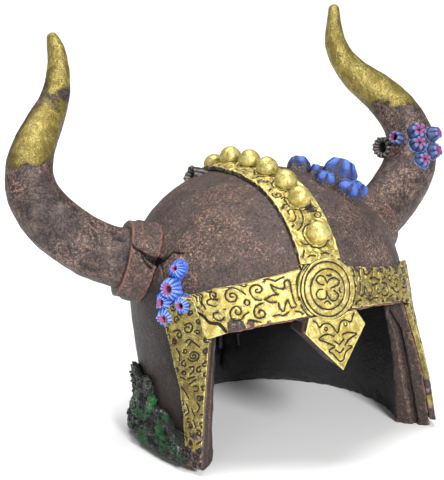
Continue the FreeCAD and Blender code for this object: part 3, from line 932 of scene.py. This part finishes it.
def bloom_profile(foot, lip, height, sink=3.0):
    """A closed flower-like polyp with a small dimple."""
    rows = [(foot, -sink, 0.0, 0.0)]
    for i in range(5):
        t = i / 4
        swell = foot + (lip - foot) * t + foot * 0.08 * math.sin(math.pi * t)
        rows.append((swell, height * 0.7 * t, t * 0.6, 0.0))
    rows += [
        (lip * 1.02, height * 0.84, 0.8, 0.0),
        (lip * 0.93, height * 0.97, 0.95, 0.15),
        (lip * 0.76, height * 1.05, 1.0, 0.6),
        (lip * 0.56, height * 1.07, 1.0, 0.95),
        (lip * 0.38, height * 1.02, 1.0, 1.0),
        (lip * 0.24, height * 0.90, 1.0, 1.2),
        (lip * 0.16, height * 0.72, 1.0, 1.8),
        (lip * 0.06, height * 0.66, 1.0, 1.9),
    ]
    return rows


TEMPLE = [
    ((-44.9, -17.8, 69.0), (-0.75, -0.5, 0.45), 2.8, 2.0, 4.6),
    ((-47.4, -18.0, 62.6), (-0.85, -0.45, 0.2), 3.6, 3.2, 4.2),
    ((-49.2, -16.4, 57.6), (-0.92, -0.3, 0.1), 3.2, 2.7, 3.8),
    ((-46.0, -24.0, 58.2), (-0.8, -0.6, 0.12), 2.9, 2.2, 4.6),
    ((-49.2, -18.4, 52.6), (-0.88, -0.46, -0.05), 3.8, 2.8, 4.2),
]
CROWN = [
    ((21.0, 9.6, 91.8), (0.25, 0.35, 0.9), 4.2, 2.4, 4.6),
    ((26.0, 4.2, 90.3), (0.35, 0.2, 0.9), 3.6, 2.4, 3.6),
    ((30.5, -1.2, 88.2), (0.45, 0.1, 0.85), 5.4, 3.0, 7.4),
    ((20.6, -9.6, 91.3), (0.25, -0.2, 0.95), 4.0, 2.6, 3.6),
    ((27.2, -14.4, 87.2), (0.45, -0.35, 0.85), 4.4, 2.6, 4.2),
    ((35.6, -7.8, 84.2), (0.6, -0.1, 0.8), 3.8, 2.2, 4.2),
]
HORN_CUPS = [
    ("horn_polyp_1", (80.1, 17.4, 98.2), (-0.1, -0.8, 0.6), 3.6, 3.1, 3.2),
    ("horn_polyp_2", (78.7, 14.5, 94.0), (-0.15, -0.8, 0.55), 3.2, 2.7, 3.0),
    ("horn_polyp_3", (85.2, 13.3, 90.8), (0.35, -0.88, 0.3), 3.2, 2.7, 3.0),
    ("horn_polyp_4", (78.6, 10.8, 88.4), (0.0, -0.88, 0.45), 3.4, 2.6, 2.6),
    ("horn_polyp_5", (87.2, 16.8, 96.6), (0.45, -0.8, 0.4), 3.2, 2.4, 3.2),
]


# ---- operators, one for each group of pieces ----
class ORNAMENT_OT_shell(bpy.types.Operator):
    """Carves the helmet shell, its cracks and its chipped rim"""

    bl_idname = "ornament.shell"
    bl_label = "Helmet shell"

    def execute(self, context):
        sizes = context.scene.helmet_carving
        bm = grained("helmet_shell", sizes.shell_grain, 1)
        inside = layer(bm, "inside")
        for vert in bm.verts:
            vert[inside] = 1.0 - smooth(-0.62, -0.30, outwardness(vert))
        narrower = [(-x, y, z, half * 0.6) for x, y, z, half in CHEEK_CHANNEL]
        split_open(bm, [CHEEK_CHANNEL, narrower], 0.0013, paint=0.5)
        edge_values(bm, sizes.shell_grain * 0.20)
        split_open(bm, SHELL_CRACK, sizes.crack)
        stain_near(bm, [cup[0] for cup in TEMPLE + CROWN], 5.5)
        side_shade = layer(bm, "painted_shade")
        # painted shade: the lower sides and the back are darkened where those faces turn from the light
        for vert in bm.verts:
            low = 1.0 - smooth(0.058, 0.072, vert.co.z)
            vert[side_shade] = low * smooth(0.35, 0.9, abs(vert.normal.x)) + 0.35 * smooth(0.0, 0.05, vert.co.y)
        knock(bm, (0.018, 0.00035), (0.005, 0.00014), (0.0022, 0.00008), seed=1)
        knock(bm, (0.004, 0.0005), (0.0016, 0.0002), seed=2, where=lambda v: v.co.z < 0.006)
        for vert in bm.verts:
            vert.co.z = max(vert.co.z, 0.0)
        new_piece(bm, "shell_iron", iron_finish(context.scene.helmet_paint), "aged_iron", "helmet_shell")
        return {"FINISHED"}


class ORNAMENT_OT_horns(bpy.types.Operator):
    """Carves the two horns and marks where their gilt remains, thinned on the sides turned from the light as
    painted shade
    """

    bl_idname = "ornament.horns"
    bl_label = "Horns"

    def execute(self, context):
        sizes = context.scene.helmet_carving
        finish = horn_finish(context.scene.helmet_paint)
        for side, name, gilt_from in ((-1, "left", 0.1035), (1, "right", 0.1085)):
            bm = grained("horn_" + name, sizes.horn_grain, 1)
            gild_and_shade, carve = layer(bm, "gild_and_shade"), layer(bm, "carve")
            for vert in bm.verts:
                at = vert.co
                # facing_light: how far a point faces the front-left light; less gilt and darker gold where it
                # faces away is painted shade
                facing_light = Vector((-0.35, -0.90, 0.25)).dot(vert.normal)
                left_off = noise.noise(at / 0.006 + Vector((side * 4, 0, 0))) * 0.004
                amount = smooth(gilt_from - 0.004, gilt_from + 0.003, at.z + left_off)
                if side < 0:
                    # painted shade: the left horn's gilt thins where it faces away from the light
                    amount *= 0.30 + 0.70 * smooth(-0.10, 0.75, facing_light + smooth(0.126, 0.136, at.z) * 0.7)
                    drift = noise.noise(at / 0.005) * 0.004
                    patch = smooth(0.119, 0.123, at.z + drift) * (1 - smooth(0.125, 0.129, at.z + drift))
                    amount *= 1.0 - 0.5 * patch
                else:
                    # painted shade: the right horn's gilt thins where it faces away from the light
                    amount *= 0.62 + 0.38 * smooth(-0.25, 0.35, facing_light)
                vert[gild_and_shade] = amount
                vert[carve] = 0.0
            if side > 0:
                stain_near(bm, [cup[1] for cup in HORN_CUPS], 5.0)
            knock(bm, (0.012, 0.0003), (0.004, 0.00016), (0.0016, 0.00008), seed=3 + side)
            if side < 0:
                split_open(bm, HORN_CRACK, sizes.crack * 0.5, False)
            new_piece(bm, "horn_skin_" + name, finish, "horn", "horn_" + name)
        return {"FINISHED"}


class ORNAMENT_OT_collars(bpy.types.Operator):
    """Carves the stepped collars round the horns' roots, the left one split"""

    bl_idname = "ornament.collars"
    bl_label = "Horn collars"

    def execute(self, context):
        sizes = context.scene.helmet_carving
        finish = bpy.data.materials.get("painted_iron") or iron_finish(context.scene.helmet_paint)
        for name in ("left", "right"):
            bm = grained("horn_collar_" + name, sizes.gilt_grain * 1.7, 1)
            edge_values(bm, sizes.gilt_grain * 0.30)
            if name == "left":
                split_open(bm, COLLAR_CRACK, sizes.crack, False)
            knock(bm, (0.006, 0.00022), (0.002, 0.0001), seed=8)
            new_piece(bm, "collar_" + name, finish, "aged_iron", "horn_collar_" + name)
        return {"FINISHED"}


def gilt_piece(context, node, name, place, strokes, marks=(), worn_below=None, grain=1.0, seed=0,
               extra=None, fill=0.0, edge_wear=0.85, painted_shade=0.0, relief=0.0):
    """Carves one gilt band: engraving, hammered face, rubbed edges, worn marks and an even painted shade that
    dims the whole piece.
    """
    sizes = context.scene.helmet_carving
    size = sizes.gilt_grain * grain
    bm = grained(node, size, 2)
    edge_values(bm, size * 0.20)
    worn, gilt_shade = layer(bm, "worn"), layer(bm, "painted_shade")
    knock(bm, (0.0032, 0.00016), (0.0012, 0.00007), seed=seed)
    if relief:
        hammer(bm, relief, seed)
    if fill:
        strokes = filled(bm, place, strokes, seed, fill)
    if strokes:
        engrave(bm, place, strokes, sizes)
    if extra:
        extra(bm, sizes)
    if marks:
        spots(bm, "worn", place, marks)
    for vert in bm.verts:
        if worn_below:
            top, foot = worn_below
            vert[worn] = max(vert[worn], (1.0 - smooth(foot, top, vert.co.z / MM)) * 0.8)
        side_on = 1.0 - smooth(0.30, 0.62, outwardness(vert))
        vert[worn] = max(vert[worn], side_on * edge_wear)
        vert[gilt_shade] = painted_shade
    finish = bpy.data.materials.get("gilt_leaf") or gilt_finish(context.scene.helmet_paint)
    return new_piece(bm, name, finish, "gilt", node)


def brow_crack(bm, sizes):
    engrave(bm, band_place, BROW_CRACK, sizes, 1.9)
    engrave(bm, band_place, BROW_CRACK, sizes, 1.2)


class ORNAMENT_OT_brow(bpy.types.Operator):
    """Carves the brow bands, the medallion and the nose guard's plate"""

    bl_idname = "ornament.brow"
    bl_label = "Brow"

    def execute(self, context):
        left = BROW_SCROLLS + BROW_MIDDLE
        right = mirrored_strokes(BROW_SCROLLS[:-1], 1.03) + BROW_MIDDLE
        marks = [(-36, 52, 5.0, 0.85), (-30, 53, 3.5, 0.7), (-24, 53, 2.5, 0.6), (-49, 57, 3.0, 0.5)]
        gilt_piece(context, "brow_band_left", "brow_left", band_place, left, marks, seed=11, extra=brow_crack)
        marks = [(16, 57, 3.5, 0.45), (45, 56, 4.0, 0.5)]
        marks += [(8 + 6 * k, 69.8 - 1.35 * k, 2.4, 0.8) for k in range(8)]
        marks += [(14 + 6 * k, 53.6 - 0.8 * k, 1.8, 0.7) for k in range(6)]
        # the right brow band is dimmed by painted shade
        gilt_piece(context, "brow_band_right", "brow_right", band_place, right, marks, seed=12, fill=2.1,
                   painted_shade=0.62, relief=0.00035)
        gilt_piece(context, "brow_medallion", "medallion", front_place, MEDALLION, grain=0.85, seed=13)
        guard = [[(x - 1.2, z) for x, z in stroke] for stroke in NOSE_GUARD]
        gilt_piece(context, "nasal_plate", "nose_plate", front_place, guard, grain=0.85, seed=14)
        return {"FINISHED"}


class ORNAMENT_OT_cheeks(bpy.types.Operator):
    """Carves the trims that run down the cheeks"""

    bl_idname = "ornament.cheeks"
    bl_label = "Cheek trims"

    def execute(self, context):
        for name, seed in (("left", 15), ("right", 16)):
            marks = [(-40, 12, 5.0, 0.6), (-33, 22, 2.5, 0.35)]
            if name == "right":
                marks += [(-30, 36, 4.0, 0.7), (-25, 45, 3.5, 0.6), (-36, 27, 3.5, 0.6), (-39, 15, 6.0, 0.75)]
            # both cheek trims are dimmed by painted shade
            gilt_piece(
                context, "cheek_trim_" + name, "cheek_" + name, side_place, CHEEK_SCROLLS, marks,
                worn_below=(22, 4), seed=seed, fill=1.75, edge_wear=0.15, painted_shade=0.8,
            )
        return {"FINISHED"}


class ORNAMENT_OT_crest(bpy.types.Operator):
    """Carves the crest strap and the studs along it"""

    bl_idname = "ornament.crest"
    bl_label = "Crest"

    def execute(self, context):
        chance = random.Random(5)
        marks = [(2.5, 20.0, 3.4, 0.75), (1.5, 33.5, 2.6, 0.65), (-5, 29, 2.0, 0.5), (5.0, 12.0, 2.0, 0.5)]
        for k in range(12):
            marks.append((chance.uniform(-8, 6), chance.uniform(44, 118), chance.uniform(1.6, 3.2), 0.7))
        gilt_piece(
            context, "crest_band", "crest_strap", crest_place, crest_strokes(), marks,
            grain=1.12, seed=17, relief=0.0004,
        )
        for i in range(1, 10):
            node = "crest_stud_%d" % i
            gilt_piece(context, node, "stud_%d" % i, crest_place, (), grain=1.2, seed=20 + i, edge_wear=0.1)
        return {"FINISHED"}


class ORNAMENT_OT_growths(bpy.types.Operator):
    """Grows the polyps, crown corals and the sponge"""

    bl_idname = "ornament.growths"
    bl_label = "Polyps and corals"

    def execute(self, context):
        look = context.scene.helmet_paint
        temple = coral_finish(look, "temple_coral", look.coral, look.coral_light, look.bloom, 0.25)
        crown = coral_finish(
            look, "crown_coral", (0.018, 0.040, 0.185), (0.062, 0.135, 0.450), (0.120, 0.045, 0.220), 0.44
        )
        horn = coral_finish(
            look, "horn_coral", (0.050, 0.075, 0.210), (0.120, 0.200, 0.420), (0.230, 0.060, 0.190), 0.15
        )
        for i, (base, aim, foot, lip, height) in enumerate(TEMPLE):
            limpet = cup_profile(foot * 1.22, lip * 0.86, height * 0.9, crater=0.5, depth=0.4)
            bm = growth(base, aim, limpet, 13, 0.13, 78, seed=i + 1, rough=0.38, sag=0.9)
            new_piece(bm, "temple_cup_%d" % (i + 1), temple, "coral", "temple_polyp_%d" % (i + 1))
        for i, (base, aim, foot, tip, height) in enumerate(CROWN):
            big = (1.15, 1.0, 1.3, 1.12, 1.22, 1.15)[i]
            gem = stub_profile(foot * big, tip * big * 1.1, height * (0.5 + big * 0.55))
            bm = growth(base, aim, gem, 5, 0.05, 90, seed=i + 9, rough=0.14, sag=0.5, flat=5)
            piece = new_piece(bm, "crown_stub_%d" % (i + 1), crown, "coral", "crown_coral_%d" % (i + 1))
            piece.data.set_sharp_from_angle(angle=0.35)
        for i, (node, base, aim, foot, lip, height) in enumerate(HORN_CUPS):
            bm = growth(base, aim, bloom_profile(foot, lip, height), 6, 0.20, 48, seed=i + 21, rough=0.12)
            new_piece(bm, "horn_bloom_%d" % (i + 1), horn, "coral", node)
        sponge = cup_profile(2.6, 2.3, 5.4, crater=0.6, depth=0.6)
        bm = growth((74.0, 20.6, 95.6), (-0.8, -0.5, 0.35), sponge, 7, 0.10, 42, seed=31, rough=0.15)
        new_piece(bm, "sponge_tube", horn, "coral", "horn_sponge")
        return {"FINISHED"}


class ORNAMENT_OT_barnacles(bpy.types.Operator):
    """Builds the barnacle over the air outlet and the one on the right horn"""

    bl_idname = "ornament.barnacles"
    bl_label = "Barnacles"

    def execute(self, context):
        finish = barnacle_finish(context.scene.helmet_paint)
        snout = cup_profile(3.9, 3.3, 7.4, sink=2.5, crater=0.62, depth=0.9)
        leaning = (-0.86, -0.12, 0.45)
        bm = growth((-10.6, 26.6, 88.0), leaning, snout, 9, 0.12, 63, seed=41, rough=0.3, sag=0.8)
        new_piece(bm, "outlet_barnacle", finish, "barnacle", "crest_barnacle")
        shell = cup_profile(3.6, 4.1, 5.4, crater=0.62, depth=0.7)
        bm = growth((73.4, 27.4, 90.8), (-0.9, -0.35, 0.2), shell, 13, 0.16, 78, seed=42, rough=0.12)
        new_piece(bm, "horn_barnacle_shell", finish, "barnacle", "horn_barnacle")
        return {"FINISHED"}


class ORNAMENT_OT_moss(bpy.types.Operator):
    """Lumps the moss on the left rear wall and sows tufts over it"""

    bl_idname = "ornament.moss"
    bl_label = "Moss"

    def execute(self, context):
        finish = moss_finish(context.scene.helmet_paint)
        for i in range(1, 4):
            bm = grained("moss_clump_%d" % i, 0.00055, 2)
            lobe = layer(bm, "lobe")
            for vert in bm.verts:
                if outwardness(vert) < 0.1:
                    continue
                big = noise.noise(vert.co / 0.0065 + Vector((i, 0, 3)))
                rib = 1.0 - abs(noise.noise(vert.co / 0.0034 + Vector((5, i, 0)))) * 2.2
                fine = noise.noise(vert.co / 0.0012)
                vert[lobe] = smooth(-0.2, 0.6, big) * (1.0 - smooth(0.024, 0.030, vert.co.z))
                vert.co += vert.normal * (big * 0.0011 + rib * 0.0007 + fine * 0.00035)
            bm.normal_update()
            self.sow(bm, i)
            new_piece(bm, "moss_%d" % i, finish, "moss", "moss_clump_%d" % i)
        return {"FINISHED"}

    def sow(self, bm, seed):
        """Small bent tufts, each standing on the moss where it faces outwards."""
        chance = random.Random(seed)
        lobe = layer(bm, "lobe")
        outside = [f for f in bm.faces if outwardness(f.verts[0]) > 0.3]
        open_face = [f for f in outside if f.calc_center_median().z > 0.004]
        for _ in range(45):
            face = chance.choice(open_face)
            at = face.calc_center_median()
            normal = face.normal.copy()
            lean = Vector((chance.uniform(-1, 1), chance.uniform(-1, 1), chance.uniform(-0.6, 1))) * 0.7
            made = bmesh.ops.create_cone(
                bm, cap_ends=True, segments=6, radius1=chance.uniform(0.5, 1.0) * MM,
                radius2=chance.uniform(0.25, 0.5) * MM, depth=chance.uniform(0.9, 1.6) * MM,
            )["verts"]
            turn = (normal + lean).to_track_quat("Z", "Y").to_matrix().to_4x4()
            bmesh.ops.transform(bm, matrix=Matrix.Translation(at) @ turn, verts=made)
            for vert in made:
                vert[lobe] = chance.uniform(0.0, 0.7)


class ORNAMENT_OT_air_line(bpy.types.Operator):
    """Dresses the inlet, hose, clips and nozzle of the air line"""

    bl_idname = "ornament.air_line"
    bl_label = "Air line"

    def execute(self, context):
        plastic, soft = fitting_finish(), hose_finish()
        for node in ("air_inlet", "air_nozzle", "tube_clip_1", "tube_clip_2"):
            bm = merged_copy(node)
            sharp = [e for e in bm.edges if len(e.link_faces) == 2 and e.calc_face_angle() > 0.6]
            bmesh.ops.bevel(
                bm, geom=sharp, offset=0.00025, offset_type="OFFSET", segments=2, profile=0.5,
                affect="EDGES", material=-1, clamp_overlap=True,
            )
            self.dress(bm, node, plastic, "fitting")
        self.dress(merged_copy("air_tube"), "air_tube", soft, "hose")
        return {"FINISHED"}

    def dress(self, bm, node, material, slot):
        piece = new_piece(bm, node.replace("air_", "line_").replace("tube_", "line_"), material, slot, node)
        piece.data.set_sharp_from_angle(angle=0.7)


LENS = 158.8
CAMERA_AT = (-0.382108, -0.660307, 0.288285)
CAMERA_RIGHT = (0.875127, -0.483887, -0.002385)
CAMERA_UP = (0.135365, 0.240076, 0.961270)


class ORNAMENT_OT_stage(bpy.types.Operator):
    """Sets the pale floor, the soft lights and the camera"""

    bl_idname = "ornament.stage"
    bl_label = "Stage"

    def execute(self, context):
        scene = context.scene
        bm = bmesh.new()
        bmesh.ops.create_grid(bm, x_segments=1, y_segments=1, size=3.0)
        mesh = bpy.data.meshes.new("floor")
        bm.to_mesh(mesh)
        bm.free()
        floor = bpy.data.objects.new("floor", mesh)
        scene.collection.objects.link(floor)
        mesh.materials.append(floor_finish())
        world = bpy.data.worlds.new("studio")
        world.use_nodes = True
        world.node_tree.nodes["Background"].inputs["Color"].default_value = (1.0, 1.0, 1.0, 1.0)
        world.node_tree.nodes["Background"].inputs["Strength"].default_value = 0.16
        scene.world = world
        aim = Vector((0.0, 0.0, 0.06))
        self.light("key", (-0.12, -1.05, 0.60), aim, 0.30, 17.0)
        self.light("fill", (-0.85, -0.65, 0.35), aim, 0.40, 2.0)
        self.light("top", (0.0, 0.5, 2.2), aim, 1.6, 62.0)
        self.camera(scene)
        scene.view_settings.view_transform = "Standard"
        return {"FINISHED"}

    def light(self, name, at, aim, size, watts):
        lamp = bpy.data.lights.new(name, "AREA")
        lamp.shape = "DISK"
        lamp.size = size
        lamp.energy = watts
        source = bpy.data.objects.new(name, lamp)
        source.location = at
        source.rotation_euler = (aim - Vector(at)).to_track_quat("-Z", "Y").to_euler()
        bpy.context.scene.collection.objects.link(source)

    def camera(self, scene):
        eye = bpy.data.cameras.new("view")
        eye.lens = LENS
        eye.clip_end = 20.0
        view = bpy.data.objects.new("view", eye)
        scene.collection.objects.link(view)
        right = Vector(CAMERA_RIGHT)
        up = Vector(CAMERA_UP)
        back = right.cross(up)
        turn = Matrix((right, up, back)).transposed().to_4x4()
        view.matrix_world = Matrix.Translation(CAMERA_AT) @ turn
        scene.camera = view


PIECES = (
    ORNAMENT_OT_shell,
    ORNAMENT_OT_horns,
    ORNAMENT_OT_collars,
    ORNAMENT_OT_brow,
    ORNAMENT_OT_cheeks,
    ORNAMENT_OT_crest,
    ORNAMENT_OT_growths,
    ORNAMENT_OT_barnacles,
    ORNAMENT_OT_moss,
    ORNAMENT_OT_air_line,
    ORNAMENT_OT_stage,
)


class ORNAMENT_PT_panel(bpy.types.Panel):
    """Lists the ornament's pieces and paint"""

    bl_idname = "ORNAMENT_PT_panel"
    bl_label = "Horned helmet"
    bl_space_type = "VIEW_3D"
    bl_region_type = "UI"
    bl_category = "Ornament"

    def draw(self, context):
        for piece in PIECES:
            self.layout.operator(piece.bl_idname)
        for group in (context.scene.helmet_paint, context.scene.helmet_carving):
            box = self.layout.box()
            for name in group.__annotations__:
                box.prop(group, name)


CLASSES = (HelmetPaint, HelmetCarving) + PIECES + (ORNAMENT_PT_panel,)


def register():
    for item in CLASSES:
        bpy.utils.register_class(item)
    bpy.types.Scene.helmet_paint = PointerProperty(type=HelmetPaint)
    bpy.types.Scene.helmet_carving = PointerProperty(type=HelmetCarving)


def unregister():
    del bpy.types.Scene.helmet_carving
    del bpy.types.Scene.helmet_paint
    for item in reversed(CLASSES):
        bpy.utils.unregister_class(item)


def main():
    register()
    for piece in PIECES:
        family, name = piece.bl_idname.split(".")
        getattr(getattr(bpy.ops, family), name)()


if __name__ == "__main__":
    main()
